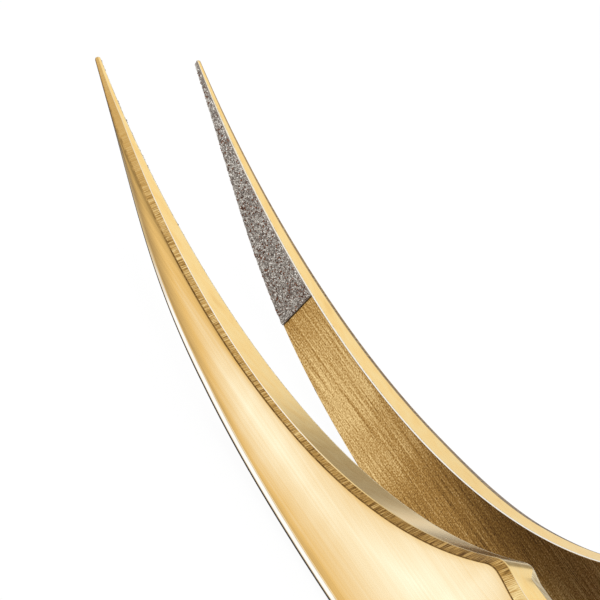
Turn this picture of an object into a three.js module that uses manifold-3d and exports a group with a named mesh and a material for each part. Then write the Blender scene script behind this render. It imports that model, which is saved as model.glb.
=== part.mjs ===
// Curved fine-point tongs with grit-coated jaws.
// Millimetres. +X runs from the welded tail to the points, +Y is the way the arms open,
// +Z is the way the points curve. The origin is under the middle of the tongs, on the
// plane of the lower edges, which is the plane that they stand on.

import * as THREE from 'three';
import { ParametricGeometry } from 'three/addons/geometries/ParametricGeometry.js';
import { mergeVertices } from 'three/addons/utils/BufferGeometryUtils.js';
import Module from 'manifold-3d';

// Overall sizes
const OVERALL_LENGTH = 125;
const HEEL_HEIGHT = 9.1; // the widest place of an arm
const TAIL_HEIGHT = 6.8;
const POINT_HEIGHT = 6.55; // how far the points stand above the lower edges

// Side outline of an arm
const HEEL_SETBACK = 37.4; // from the points back to the corner in the upper edge
const HEEL_ROUNDING = 0.45; // along the edge, each way from the corner
const OUTER_HEEL_LIFT = 0.26; // how much higher the heel's outer side stands
const OUTER_HEEL_ROUNDING = 0.5;
const OUTER_LIFT_FADE = 2.5; // length behind the heel in which the outer side comes level
const BELLY_SETBACK = 37.7; // from the points back to where the lower edge turns straight
const POINT_EDGE = 0.2; // height of the point itself
const UPPER_POINT_ANGLE = 16.8; // degrees that the upper edge falls from the point
const LOWER_POINT_ANGLE = 19.9; // degrees that the lower edge falls from the point
const HEEL_RISE_ANGLE = 34.7; // degrees that the upper edge climbs into the heel
const UPPER_POINT_PULL = 11.7; // Bezier handle lengths of the two curved edges
const UPPER_HEEL_PULL = 12.4;
const OUTER_RISE_ANGLE = 36.1; // the same three for the outer side of the upper edge
const OUTER_POINT_PULL = 12.8;
const OUTER_HEEL_PULL = 11.8;
const LOWER_POINT_PULL = 12.3;
const LOWER_BELLY_PULL = 25.3;
const TAIL_ROUNDING = 2.6; // corner radius of the tail's end

// Plan: half the gap between the arms, and an arm's thickness
const POINT_HALF_GAP = 3.42;
const HEEL_HALF_GAP = 3.1;
const SPACER_FRONT_HALF_GAP = 0.75;
const TAIL_HALF_GAP = 0.45;
const POINT_SPREAD = 0.0125; // slope of the inner face at the point
const BOW_SPREAD = 0.13; // slope of the inner face where it leaves the spacer
const HEEL_SPREAD = 0.045; // slope of the inner face behind the heel
const POINT_THICKNESS = 0.25;
const HEEL_THICKNESS = 2.5;
const TAIL_THICKNESS = 1.3;
const POINT_TAPER_POWER = 1.6; // how fully the point swells into the heel

// Edges of an arm's section
const POINT_CHAMFER = 0.27; // outer upper edge: at the points,
const ROOT_CHAMFER = 0.14; // at the heel if it didn't flare,
const HEEL_CHAMFER = 0.37; // at the heel, with its flare,
const HEEL_FLARE_RUN = 16.8; // which starts this far ahead of it,
const HEEL_FLARE_POWER = 1.3;
const HANDLE_CHAMFER = 0.65; // and along the handle,
const HANDLE_CHAMFER_RUN = 9; // this far behind the heel
const INNER_BEVEL_WIDTH = 0.85; // shallow bevel of the handle's inner upper edge
const INNER_BEVEL_DROP = 0.22;
const INNER_BEVEL_RUN = 1.3; // length in which it opens behind the heel
const LOWER_ROUNDING = 0.7; // outer lower edge
const LOWER_INNER_BREAK = 0.1;
const FACE_DOME = 0.1; // how far the outer face swells

// The most that each of them takes of the lesser of an arm's height and thickness
const CHAMFER_SHARE = 0.4;
const BEVEL_SHARE = 0.3;
const LEAST_BEVEL_SHARE = 0.1;
const LEAST_DROP_SHARE = 0.02;
const BREAK_SHARE = 0.1;
const ROUNDING_SHARE = 0.42;
const DOME_SHARE = 0.06;
const ROUNDING_STEPS = 4;
const DOME_STEPS = 5;

// Grit coating and spacer
const GRIT_LENGTH = 13.9;
const GRIT_THICKNESS = 0.12;
const GRIT_EDGE_INSET = 0.04;
const GRIT_END_LEAN = 0.15; // how much its back end leans forward, per millimetre down
const SPACER_LENGTH = 12;
const BOND_GAP = 0.02; // between the grit and its jaw
const WELD_GAP = 0.05; // between the spacer and an arm

// Stations along an arm
const POINT_STEPS = 30;
const HEEL_STEPS = 9;
const HANDLE_STEPS = 30;
const HEEL_SPAN = 1.6; // length to each side of the heel that gets close stations
const FLARE_STEPS = 10;
const TAIL_STEPS = 8;
const END_SPAN = 0.12; // length in which an arm's end closes
const MERGE_DISTANCE = 1e-4;

const POINT_X = OVERALL_LENGTH / 2;
const TAIL_X = -OVERALL_LENGTH / 2;
const HEEL_X = POINT_X - HEEL_SETBACK;
const SPACER_FRONT_X = TAIL_X + SPACER_LENGTH;
const HALF_PI = Math.PI / 2;

const wasm = await Module();
wasm.setup();

const steel = { color: 0xe3b762, roughness: 0.28, metalness: 1 };
const grit = { color: 0x9a9288, roughness: 0.9, metalness: 0.2 };
const weldedSteel = { color: 0xcfa455, roughness: 0.4, metalness: 1 };

// A point at a distance and an angle in degrees from another, in a side or plan drawing.
function offset(point, distance, degrees) {
  const turn = THREE.MathUtils.degToRad(degrees);
  return new THREE.Vector2(
    point.x + distance * Math.cos(turn),
    point.y + distance * Math.sin(turn),
  );
}

// The height of a drawn edge at any x, for an edge that never turns back in x.
function heightAlong(path, divisions = 400) {
  const points = path.getSpacedPoints(divisions);
  return (x) => {
    let next = points.findIndex((p) => p.x >= x);
    if (next < 0) next = points.length - 1;
    if (next === 0) next = 1;
    const from = points[next - 1];
    const to = points[next];
    const share = THREE.MathUtils.clamp((x - from.x) / (to.x - from.x), 0, 1);
    return from.y + share * (to.y - from.y);
  };
}

// A cubic that leaves (x0, y0) with slope m0 and reaches (x1, y1) with slope m1.
function cubic(x, [x0, y0, m0], [x1, y1, m1]) {
  const span = x1 - x0;
  const s = (x - x0) / span;
  const value = y0 * (1 + 2 * s) * (1 - s) ** 2 + y1 * s * s * (3 - 2 * s);
  return value + span * s * (1 - s) * (m0 * (1 - s) - m1 * s);
}

// One side of the upper edge, from the tail over the heel's corner and along the concave side.
function upperEdge({ lift, rounding, rise, heelHandle, pointHandle }) {
  const tail = new THREE.Vector2(TAIL_X, TAIL_HEIGHT);
  const heel = new THREE.Vector2(HEEL_X, HEEL_HEIGHT + lift);
  const point = new THREE.Vector2(POINT_X, POINT_HEIGHT + POINT_EDGE / 2);
  const handleRise = THREE.MathUtils.radToDeg(Math.atan2(heel.y - tail.y, heel.x - tail.x));
  const roundFrom = offset(heel, -rounding, handleRise);
  const roundTo = offset(heel, rounding, -rise);
  const heelPull = offset(heel, heelHandle, -rise);
  const pointPull = offset(point, -pointHandle, UPPER_POINT_ANGLE);
  const path = new THREE.Path();
  path.moveTo(tail.x, tail.y);
  path.lineTo(roundFrom.x, roundFrom.y);
  path.quadraticCurveTo(heel.x, heel.y, roundTo.x, roundTo.y);
  path.bezierCurveTo(heelPull.x, heelPull.y, pointPull.x, pointPull.y, point.x, point.y);
  return path;
}

// The lower edge, straight under the handle and convex under the jaw.
function lowerEdge() {
  const belly = new THREE.Vector2(POINT_X - BELLY_SETBACK, 0);
  const point = new THREE.Vector2(POINT_X, POINT_HEIGHT - POINT_EDGE / 2);
  const pointPull = offset(point, -LOWER_POINT_PULL, LOWER_POINT_ANGLE);
  const path = new THREE.Path();
  path.moveTo(TAIL_X, 0);
  path.lineTo(belly.x, 0);
  path.bezierCurveTo(belly.x + LOWER_BELLY_PULL, 0, pointPull.x, pointPull.y, point.x, point.y);
  return path;
}

const innerUpperEdge = {
  lift: 0,
  rounding: HEEL_ROUNDING,
  rise: HEEL_RISE_ANGLE,
  heelHandle: UPPER_HEEL_PULL,
  pointHandle: UPPER_POINT_PULL,
};
const outerUpperEdge = {
  lift: OUTER_HEEL_LIFT,
  rounding: OUTER_HEEL_ROUNDING,
  rise: OUTER_RISE_ANGLE,
  heelHandle: OUTER_HEEL_PULL,
  pointHandle: OUTER_POINT_PULL,
};
const upperHeight = heightAlong(upperEdge(innerUpperEdge));
const outerUpperHeight = heightAlong(upperEdge(outerUpperEdge));
const lowerHeight = heightAlong(lowerEdge());

// How much the tail's rounded end takes off each edge at x.
function tailTrim(x) {
  const inside = TAIL_X + TAIL_ROUNDING - x;
  if (inside <= 0) return 0;
  return TAIL_ROUNDING - Math.sqrt(Math.max(TAIL_ROUNDING ** 2 - inside ** 2, 0));
}

// Where the inner face of the left arm lies at x: flat on the spacer, slightly bowed to the
// heel, and almost straight along the jaw.
function innerFace(x) {
  if (x <= SPACER_FRONT_X) {
    const slope = (SPACER_FRONT_HALF_GAP - TAIL_HALF_GAP) / SPACER_LENGTH;
    return TAIL_HALF_GAP + slope * (x - TAIL_X);
  }
  if (x <= HEEL_X) {
    const front = [SPACER_FRONT_X, SPACER_FRONT_HALF_GAP, BOW_SPREAD];
    return cubic(x, front, [HEEL_X, HEEL_HALF_GAP, HEEL_SPREAD]);
  }
  return cubic(x, [HEEL_X, HEEL_HALF_GAP, 0], [POINT_X, POINT_HALF_GAP, POINT_SPREAD]);
}

// An arm's thickness at x.
function thickness(x) {
  if (x >= HEEL_X) {
    const along = (POINT_X - x) / HEEL_SETBACK;
    const full = 1 - (1 - along) ** POINT_TAPER_POWER;
    return POINT_THICKNESS + (HEEL_THICKNESS - POINT_THICKNESS) * full;
  }
  const along = (x - TAIL_X) / (HEEL_X - TAIL_X);
  return TAIL_THICKNESS + (HEEL_THICKNESS - TAIL_THICKNESS) * along;
}

// The size of the outer chamfer at x, where the arm has room for it.
function chamferSize(x) {
  const { lerp, smoothstep } = THREE.MathUtils;
  const ahead = x - HEEL_X;
  if (ahead < 0) {
    return lerp(HEEL_CHAMFER, HANDLE_CHAMFER, smoothstep(-ahead, 0, HANDLE_CHAMFER_RUN));
  }
  const flare = Math.max(1 - ahead / HEEL_FLARE_RUN, 0) ** HEEL_FLARE_POWER;
  const plain = lerp(ROOT_CHAMFER, POINT_CHAMFER, ahead / HEEL_SETBACK);
  return plain + (HEEL_CHAMFER - ROOT_CHAMFER) * flare;
}

// One section of the left arm across X, as (y, z) points that run round it: up the inner
// face, over the upper edge, down the outer face and back along the lower edge.
function armSection(x) {
  const low = lowerHeight(x) + tailTrim(x);
  const high = upperHeight(x) - tailTrim(x);
  const level = THREE.MathUtils.smoothstep(HEEL_X - x, 0, OUTER_LIFT_FADE);
  const outerHigh = THREE.MathUtils.lerp(outerUpperHeight(x) - tailTrim(x), high, level);
  const inner = innerFace(x);
  const outer = inner + thickness(x);
  const room = Math.min(high - low, outer - inner);
  const opened = THREE.MathUtils.smoothstep(HEEL_X - x, 0, INNER_BEVEL_RUN);
  const fit = (size, least, most) => THREE.MathUtils.clamp(size, least * room, most * room);
  const chamfer = fit(chamferSize(x), 0, CHAMFER_SHARE);
  const bevelWidth = fit(INNER_BEVEL_WIDTH * opened, LEAST_BEVEL_SHARE, BEVEL_SHARE);
  const bevelDrop = fit(INNER_BEVEL_DROP * opened, LEAST_DROP_SHARE, BEVEL_SHARE);
  const lowerBreak = fit(LOWER_INNER_BREAK, 0, BREAK_SHARE);
  const rounding = fit(LOWER_ROUNDING, 0, ROUNDING_SHARE);
  const dome = fit(FACE_DOME, 0, DOME_SHARE);

  const section = [
    [inner, low + lowerBreak],
    [inner, high - bevelDrop],
    [inner + bevelWidth, high],
    [outer - chamfer, outerHigh],
  ];
  const faceTop = outerHigh - chamfer;
  const faceBottom = low + rounding;
  for (let i = 0; i <= DOME_STEPS; i++) {
    const share = i / DOME_STEPS;
    const swell = dome * 4 * share * (1 - share);
    section.push([outer + swell, faceTop + share * (faceBottom - faceTop)]);
  }
  for (let i = 1; i <= ROUNDING_STEPS; i++) {
    const turn = (i / ROUNDING_STEPS) * HALF_PI;
    const y = outer - rounding * (1 - Math.cos(turn));
    section.push([y, faceBottom - rounding * Math.sin(turn)]);
  }
  section.push([inner + lowerBreak, low]);
  return section;
}

const even = (share) => share;
const closeAtStart = (share) => 1 - Math.cos(HALF_PI * share);
const closeAtEnd = (share) => Math.sin(HALF_PI * share);

// A run of places from one x up to another, spaced by one of the functions above.
function places(from, to, steps, spacing) {
  return Array.from({ length: steps }, (_, i) => from + spacing(i / steps) * (to - from));
}

function armStations() {
  const tailCorner = TAIL_X + TAIL_ROUNDING;
  const flareFrom = HEEL_X - INNER_BEVEL_RUN - HANDLE_CHAMFER_RUN;
  const heelFrom = HEEL_X - HEEL_SPAN;
  const heelTo = HEEL_X + HEEL_SPAN;
  return [
    ...places(TAIL_X + END_SPAN, tailCorner, TAIL_STEPS, closeAtStart),
    ...places(tailCorner, SPACER_FRONT_X, 2, even),
    ...places(SPACER_FRONT_X, flareFrom, HANDLE_STEPS, even),
    ...places(flareFrom, heelFrom, FLARE_STEPS, even),
    ...places(heelFrom, heelTo, 2 * HEEL_STEPS, even),
    ...places(heelTo, POINT_X - END_SPAN, POINT_STEPS, closeAtEnd),
    POINT_X - END_SPAN,
  ];
}

// A closed body through rings of (x, y, z) points. Each end closes in a point on the ring's
// middle, or this far past it.
function loft(rings, reach) {
  const middle = (ring, past) => {
    const sum = ring.reduce(([a, b, c], [x, y, z]) => [a + x, b + y, c + z], [0, 0, 0]);
    const [x, y, z] = sum.map((total) => total / ring.length);
    return ring.map(() => [x + past, y, z]);
  };
  const closed = [middle(rings[0], -reach), ...rings, middle(rings[rings.length - 1], reach)];
  const around = rings[0].length;
  const along = closed.length - 1;
  const surface = (u, v, target) => {
    target.set(...closed[Math.round(v * along)][Math.round((1 - u) * around) % around]);
  };
  return solidOf(new ParametricGeometry(surface, around, along));
}

// A manifold solid of a closed geometry, without the triangles that have no area.
function solidOf(geometry) {
  const bare = geometry.index ? geometry.toNonIndexed() : geometry.clone();
  bare.deleteAttribute('normal');
  bare.deleteAttribute('uv');
  const merged = mergeVertices(bare, MERGE_DISTANCE);
  const corners = merged.index.array;
  const kept = [];
  for (let i = 0; i < corners.length; i += 3) {
    const [a, b, c] = corners.subarray(i, i + 3);
    if (a !== b && b !== c && c !== a) kept.push(a, b, c);
  }
  return new wasm.Manifold(
    new wasm.Mesh({
      numProp: 3,
      vertProperties: merged.attributes.position.array,
      triVerts: new Uint32Array(kept),
    }),
  );
}

function namedMesh(name, solid, finish) {
  const mesh = solid.getMesh();
  const geometry = new THREE.BufferGeometry();
  geometry.setAttribute('position', new THREE.BufferAttribute(mesh.vertProperties, 3));
  geometry.setIndex(new THREE.BufferAttribute(mesh.triVerts, 1));
  geometry.computeVertexNormals();
  const node = new THREE.Mesh(geometry, new THREE.MeshStandardMaterial(finish));
  node.name = name;
  return node;
}

// The left arm, one ground leaf from the tail to the point.
function arm() {
  const rings = armStations().map((x) => armSection(x).map(([y, z]) => [x, y, z]));
  return loft(rings, END_SPAN);
}

// The coat of grit on the left jaw's inner face. Its back end leans: the lower edge starts
// further forward than the upper one.
function gritCoat() {
  const backX = POINT_X - GRIT_LENGTH;
  const frontX = POINT_X - END_SPAN;
  const lean = GRIT_END_LEAN * (upperHeight(backX) - lowerHeight(backX));
  const rings = [...places(0, 1, POINT_STEPS, even), 1].map((share) => {
    const upperX = THREE.MathUtils.lerp(backX, frontX, share);
    const lowerX = THREE.MathUtils.lerp(backX + lean, frontX, share);
    const upper = upperHeight(upperX) - GRIT_EDGE_INSET;
    const lower = lowerHeight(lowerX) + GRIT_EDGE_INSET;
    const upperBack = innerFace(upperX) - BOND_GAP;
    const lowerBack = innerFace(lowerX) - BOND_GAP;
    return [
      [lowerX, lowerBack - GRIT_THICKNESS, lower],
      [upperX, upperBack - GRIT_THICKNESS, upper],
      [upperX, upperBack, upper],
      [lowerX, lowerBack, lower],
    ];
  });
  return loft(rings, 0);
}

// The wedge that both tails are welded to, trimmed to their outline.
function tailSpacer() {
  const tailHalf = TAIL_HALF_GAP - WELD_GAP;
  const frontHalf = SPACER_FRONT_HALF_GAP - WELD_GAP;
  const plan = new THREE.Shape();
  plan.moveTo(TAIL_X, -tailHalf);
  plan.lineTo(SPACER_FRONT_X, -frontHalf);
  plan.lineTo(SPACER_FRONT_X, frontHalf);
  plan.lineTo(TAIL_X, tailHalf);
  plan.closePath();
  const wedge = new THREE.ExtrudeGeometry(plan, { depth: HEEL_HEIGHT, bevelEnabled: false });

  const side = new THREE.Shape();
  const top = upperHeight(TAIL_X);
  side.moveTo(SPACER_FRONT_X, 0);
  side.lineTo(SPACER_FRONT_X, upperHeight(SPACER_FRONT_X));
  side.lineTo(TAIL_X + TAIL_ROUNDING, upperHeight(TAIL_X + TAIL_ROUNDING));
  side.absarc(TAIL_X + TAIL_ROUNDING, top - TAIL_ROUNDING, TAIL_ROUNDING, HALF_PI, Math.PI, false);
  side.absarc(TAIL_X + TAIL_ROUNDING, TAIL_ROUNDING, TAIL_ROUNDING, Math.PI, 3 * HALF_PI, false);
  side.closePath();
  const outline = new THREE.ExtrudeGeometry(side, {
    depth: 4 * frontHalf,
    bevelEnabled: false,
    curveSegments: 8,
  });
  outline.rotateX(HALF_PI);
  outline.translate(0, 2 * frontHalf, 0);
  return solidOf(wedge).intersect(solidOf(outline));
}

// Both arms and both coats are mirror images across the plane between them.
function pair(name, solid, finish) {
  const left = namedMesh('left_' + name, solid, finish);
  const right = namedMesh('right_' + name, solid, finish);
  right.scale.y = -1;
  return [left, right];
}

const tongs = new THREE.Group();
tongs.name = 'tongs';
tongs.add(namedMesh('tail_spacer', tailSpacer(), weldedSteel));
tongs.add(...pair('arm', arm(), steel));
tongs.add(...pair('grit', gritCoat(), grit));

export default tongs;
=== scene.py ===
"""Curved fine-point tongs in gold-coated steel, with grit-coated jaws.

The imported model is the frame: it gives the places and the bodies. Each class here builds one
sub-assembly around it, in metres, with +X towards the points, +Y the way the arms open and
+Z the way the points curve.
"""

import logging
import math
import random
from bisect import bisect_left
from dataclasses import dataclass, field, replace
from enum import Enum, auto
from typing import Callable, Sequence

import bmesh
import bpy
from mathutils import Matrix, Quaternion, Vector, noise


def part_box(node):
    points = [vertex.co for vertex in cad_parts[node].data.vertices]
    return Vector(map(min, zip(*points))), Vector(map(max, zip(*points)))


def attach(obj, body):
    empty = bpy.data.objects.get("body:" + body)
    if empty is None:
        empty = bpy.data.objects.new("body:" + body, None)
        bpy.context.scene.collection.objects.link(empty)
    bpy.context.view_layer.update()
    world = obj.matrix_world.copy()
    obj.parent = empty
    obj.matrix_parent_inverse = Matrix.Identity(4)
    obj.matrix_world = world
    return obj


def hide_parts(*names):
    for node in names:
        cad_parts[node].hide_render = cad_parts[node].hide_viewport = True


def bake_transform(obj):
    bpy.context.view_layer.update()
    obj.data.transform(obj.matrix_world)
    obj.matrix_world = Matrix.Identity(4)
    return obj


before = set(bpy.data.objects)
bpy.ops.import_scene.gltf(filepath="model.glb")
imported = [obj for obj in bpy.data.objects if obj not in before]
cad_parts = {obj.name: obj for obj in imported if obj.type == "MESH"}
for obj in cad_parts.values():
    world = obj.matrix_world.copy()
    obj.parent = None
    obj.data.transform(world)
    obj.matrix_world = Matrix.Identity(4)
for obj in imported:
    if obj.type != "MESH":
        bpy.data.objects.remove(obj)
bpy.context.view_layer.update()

log = logging.getLogger("tongs")

MM = 0.001
HALF_PI = math.pi / 2
NOISE_ROUGHNESS = 0.55
BROAD_ALONG = 0.3  # scale of the broad marks, as a share of the fine ones'
BROAD_ACROSS = 0.37
CLOUDS_PER_MM = 0.35
SPECKS_PER_MM = 12.0
CLOUD_DRIFT = 0.04  # how far the clouds shift the painted light and shade along the arm
CLOUD_SHADE = 0.14  # how much they lighten or darken it
CLOUD_ROUGHNESS = 0.04
LINE_ROUGHNESS = 0.12

# The most of a section's smaller side that each of its features takes.
CHAMFER_ROOM = 0.45
BEVEL_ROOM = 0.3
EDGE_ROOM = 0.08
ROUNDING_ROOM = 0.42
DOME_ROOM = 0.06

Point = tuple[float, float]
Colour = tuple[float, float, float]


# ---------------------------------------- shaders


class Signal:
    """A shader socket that takes part in Python arithmetic."""

    def __init__(self, bench: "Bench", socket: bpy.types.NodeSocket) -> None:
        """Keep the socket and the bench that owns it.

        Args:
            bench: The node tree's helper.
            socket: The output that carries the value.
        """
        self.bench = bench
        self.socket = socket

    def _math(self, operation: str, first: object, second: object) -> "Signal":
        """Return the result of one Math node."""
        return self.bench.node("ShaderNodeMath", {"operation": operation}, {0: first, 1: second})

    def __add__(self, other: object) -> "Signal":
        """Return self + other."""
        return self._math("ADD", self, other)

    def __radd__(self, other: object) -> "Signal":
        """Return other + self."""
        return self._math("ADD", other, self)

    def __sub__(self, other: object) -> "Signal":
        """Return self - other."""
        return self._math("SUBTRACT", self, other)

    def __rsub__(self, other: object) -> "Signal":
        """Return other - self."""
        return self._math("SUBTRACT", other, self)

    def __mul__(self, other: object) -> "Signal":
        """Return self * other."""
        return self._math("MULTIPLY", self, other)

    def __rmul__(self, other: object) -> "Signal":
        """Return other * self."""
        return self._math("MULTIPLY", other, self)

    def held(self) -> "Signal":
        """Return self held between 0 and 1."""
        return self._math("MAXIMUM", self._math("MINIMUM", self, 1.0), 0.0)

    def between(self, low: float, high: float) -> "Signal":
        """Return 0 below low, 1 above high and a smooth step between them."""
        settings = {"interpolation_type": "SMOOTHSTEP"}
        inputs = {"Value": self, "From Min": low, "From Max": high}
        return self.bench.node("ShaderNodeMapRange", settings, inputs, "Result")


class Bench:
    """Builds one material's or world's node tree."""

    def __init__(self, tree: bpy.types.NodeTree) -> None:
        """Start from an empty tree.

        Args:
            tree: The tree to fill.
        """
        self.tree = tree
        tree.nodes.clear()

    def node(
        self,
        kind: str,
        settings: dict[str, object] | None = None,
        inputs: dict[object, object] | None = None,
        output: object = 0,
    ) -> Signal:
        """Add one node.

        Args:
            kind: The node's type.
            settings: The node's own properties; "stops" fills a colour ramp.
            inputs: Values or signals for its sockets, by name or number.
            output: The output to return, by name or number.

        Returns:
            The chosen output as a signal.
        """
        made = self.tree.nodes.new(kind)
        for name, value in (settings or {}).items():
            if name == "stops":
                self._fill_ramp(made.color_ramp, value)
            else:
                setattr(made, name, value)
        for name, value in (inputs or {}).items():
            if isinstance(value, Signal):
                self.tree.links.new(value.socket, made.inputs[name])
            else:
                made.inputs[name].default_value = value
        return Signal(self, made.outputs[output] if len(made.outputs) else None)

    @staticmethod
    def _fill_ramp(ramp: bpy.types.ColorRamp, stops: Sequence[tuple[float, Colour]]) -> None:
        """Give a colour ramp its stops.

        Args:
            ramp: The ramp.
            stops: Pairs of position and colour, in order.
        """
        while len(ramp.elements) < len(stops):
            ramp.elements.new(1.0)
        for element, (place, colour) in zip(ramp.elements, stops):
            element.position = place
            element.color = (*colour, 1.0)

    def mix(self, factor: object, first: object, second: object) -> Signal:
        """Return a colour between two colours."""
        return self.node(
            "ShaderNodeMix", {"data_type": "RGBA"}, {0: factor, 6: first, 7: second}, 2
        )

    def ramp(self, factor: object, stops: Sequence[tuple[float, Colour]]) -> Signal:
        """Return a colour that runs through pairs of position and colour."""
        return self.node("ShaderNodeValToRGB", {"stops": stops}, {0: factor}, "Color")

    def level(self, factor: object, stops: Sequence[Point]) -> Signal:
        """Return a value that runs through pairs of position and level."""
        return self.ramp(factor, [(place, (value, value, value)) for place, value in stops])

    def spots(self, place: Signal, scale: float, detail: float) -> Signal:
        """Return a cloud noise between 0 and 1 at a place."""
        inputs = {"Vector": place, "Scale": scale, "Detail": detail, "Roughness": NOISE_ROUGHNESS}
        return self.node("ShaderNodeTexNoise", None, inputs, "Fac")

    def stretched(self, place: Signal, scale: Sequence[float], detail: float) -> Signal:
        """Return a noise drawn out along the axes whose scale is small."""
        drawn = self.node("ShaderNodeMapping", None, {"Vector": place, "Scale": tuple(scale)})
        return self.spots(drawn, 1.0, detail)

    def bump(self, height: Signal, depth: float) -> Signal:
        """Return a normal bent by a height.

        Args:
            height: The height signal, about 0 to 1.
            depth: Metres that a height of 1 stands for.

        Returns:
            The normal.
        """
        inputs = {"Strength": 1.0, "Distance": depth, "Height": height}
        return self.node("ShaderNodeBump", None, inputs)

    def metal(self, inputs: dict[object, object]) -> None:
        """End a material's tree in a Principled shader with these inputs."""
        surface = self.node("ShaderNodeBsdfPrincipled", None, inputs)
        self.node("ShaderNodeOutputMaterial", None, {"Surface": surface})


def new_material(name: str) -> tuple[bpy.types.Material, Bench]:
    """Return a new material and the bench for its nodes."""
    made = bpy.data.materials.new(name)
    made.use_nodes = True
    return made, Bench(made.node_tree)


class Map(Enum):
    """The UV maps that every arm carries."""

    MILLIMETRES = "millimetres"  # u along the arm, v round its section
    SHARE = "share"  # u from tail to point, v across the zone


@dataclass(frozen=True)
class GoldFinish:
    """One finish of the gold-coated steel; its colour can carry painted light and shade."""

    name: str
    shades: tuple[Colour, Colour, Colour]  # from a mark's bottom and painted shade to bare gold and painted highlight
    roughness: float
    along: float  # marks per millimetre along the arm
    across: float  # marks per millimetre across it
    depth: float  # metres, of the marks
    wear: float = 0.5  # how much the marks change the shade
    tones_and_painted_light: tuple[Point, ...] = ((0.0, 1.0), (1.0, 1.0))  # tone with painted light and shade, by share of the arm's length
    painted_shade_across: tuple[Point, ...] = ((0.0, 1.0), (1.0, 1.0))  # painted shade: its factor by share across the zone
    fades: tuple[Point, ...] = ((0.0, 1.0), (1.0, 1.0))  # strength of the marks along the arm
    slant: float = 0.0  # how much the marks lean, per millimetre across
    grain: float = 0.0  # how strong the fine grain is
    broad: float = 0.5  # how strong the broad marks are against the fine ones

    def material(self) -> bpy.types.Material:
        """Return the finish as a material."""
        made, bench = new_material(self.name)
        place = bench.node("ShaderNodeUVMap", {"uv_map": Map.MILLIMETRES.value})
        share = bench.node("ShaderNodeUVMap", {"uv_map": Map.SHARE.value})
        u, v = (bench.node("ShaderNodeSeparateXYZ", None, {0: place}, i) for i in (0, 1))
        reach, depth = (bench.node("ShaderNodeSeparateXYZ", None, {0: share}, i) for i in (0, 1))
        leant = bench.node("ShaderNodeCombineXYZ", None, {0: u + v * self.slant, 1: v})
        lines = bench.stretched(leant, (self.along, self.across, 1.0), 4.0)
        broad_scale = (self.along * BROAD_ALONG, self.across * BROAD_ACROSS, 1.0)
        broad_lines = bench.stretched(leant, broad_scale, 2.0)
        clouds = bench.spots(place, CLOUDS_PER_MM, 2.0)
        specks = bench.spots(place, SPECKS_PER_MM, 3.0)
        fade = bench.level(reach, self.fades)
        drifted = reach + (clouds - 0.5) * CLOUD_DRIFT
        # Painted light and shade: the tone falls and rises along the arm and across each zone.
        painted_light_and_tone = bench.level(drifted, self.tones_and_painted_light) * bench.level(depth, self.painted_shade_across)
        worn = (lines - 0.5) * self.wear + (broad_lines - 0.5) * (self.broad * self.wear)
        mottled = (worn + (specks - 0.5) * self.grain) * fade + (clouds - 0.5) * CLOUD_SHADE
        stops = tuple(zip((0.0, 0.5, 1.0), self.shades))
        rough = self.roughness + (lines - 0.5) * LINE_ROUGHNESS + (clouds - 0.5) * CLOUD_ROUGHNESS
        height = (lines + broad_lines * self.broad * 0.5 + specks * self.grain) * fade
        bench.metal(
            {
                "Base Color": bench.ramp((painted_light_and_tone + mottled).held(), stops),
                "Metallic": 1.0,
                "Roughness": rough.held(),
                "Normal": bench.bump(height, self.depth),
            }
        )
        return made


@dataclass(frozen=True)
class GritFinish:
    """The abrasive grains and the nickel that bonds them."""

    name: str = "jaw_grit"
    shades: tuple[tuple[float, Colour], ...] = (  # by tint, from bond to bright facet
        (0.0, (0.060, 0.022, 0.010)),
        (0.10, (0.22, 0.075, 0.028)),
        (0.15, (0.17, 0.14, 0.12)),
        (0.45, (0.33, 0.295, 0.26)),
        (0.75, (0.50, 0.46, 0.41)),
        (1.0, (0.76, 0.73, 0.68)),
    )
    fineness: float = 9000.0  # specks per metre
    depth: float = 0.00001  # metres, of the specks

    def material(self) -> bpy.types.Material:
        """Return the finish as a material that reads each grain's tint."""
        made, bench = new_material(self.name)
        place = bench.node("ShaderNodeTexCoord", None, None, "Object")
        tint = bench.node("ShaderNodeAttribute", {"attribute_name": "tint"}, None, "Fac")
        fine = bench.spots(place, self.fineness, 3.0)
        bench.metal(
            {
                "Base Color": bench.ramp(tint + (fine - 0.5) * 0.3, self.shades),
                "Metallic": 0.35,
                "Roughness": 0.38 + fine * 0.3,
                "Normal": bench.bump(fine, self.depth),
            }
        )
        return made


# ---------------------------------------- shapes


class Zone(Enum):
    """The stretches of an arm's section, in order round it."""

    INNER_FACE = auto()
    INNER_EDGE = auto()
    INNER_BEVEL = auto()
    UPPER_EDGE = auto()
    RIDGE = auto()
    CHAMFER = auto()
    VALLEY = auto()
    OUTER_FACE = auto()
    LOWER_ROUND = auto()
    LOWER_EDGE = auto()
    LOWER_BREAK = auto()


def lerp(a: float, b: float, share: float) -> float:
    """Return the value a share of the way from a to b."""
    return a + (b - a) * share


def smooth(share: float) -> float:
    """Return a smooth step of a share that may pass 0 or 1."""
    held = min(max(share, 0.0), 1.0)
    return held * held * (3 - 2 * held)


def offset(point: Point, distance: float, degrees: float) -> Point:
    """Return the point at a distance and an angle from another."""
    turn = math.radians(degrees)
    return point[0] + distance * math.cos(turn), point[1] + distance * math.sin(turn)


def bezier(points: Sequence[Point], steps: int) -> list[Point]:
    """Return a Bezier curve of any degree as a run of points."""
    run = []
    for i in range(steps + 1):
        left = list(points)
        while len(left) > 1:
            left = [
                (lerp(a[0], b[0], i / steps), lerp(a[1], b[1], i / steps))
                for a, b in zip(left, left[1:])
            ]
        run.append(left[0])
    return run


def height_along(run: Sequence[Point]) -> Callable[[float], float]:
    """Return a function that gives an edge's height at any x, for its points in order of x."""
    places = [x for x, _ in run]

    def height(x: float) -> float:
        """Return the edge's height at x."""
        i = min(max(bisect_left(places, x), 1), len(run) - 1)
        (x0, z0), (x1, z1) = run[i - 1], run[i]
        return lerp(z0, z1, min(max((x - x0) / (x1 - x0), 0.0), 1.0))

    return height


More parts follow.
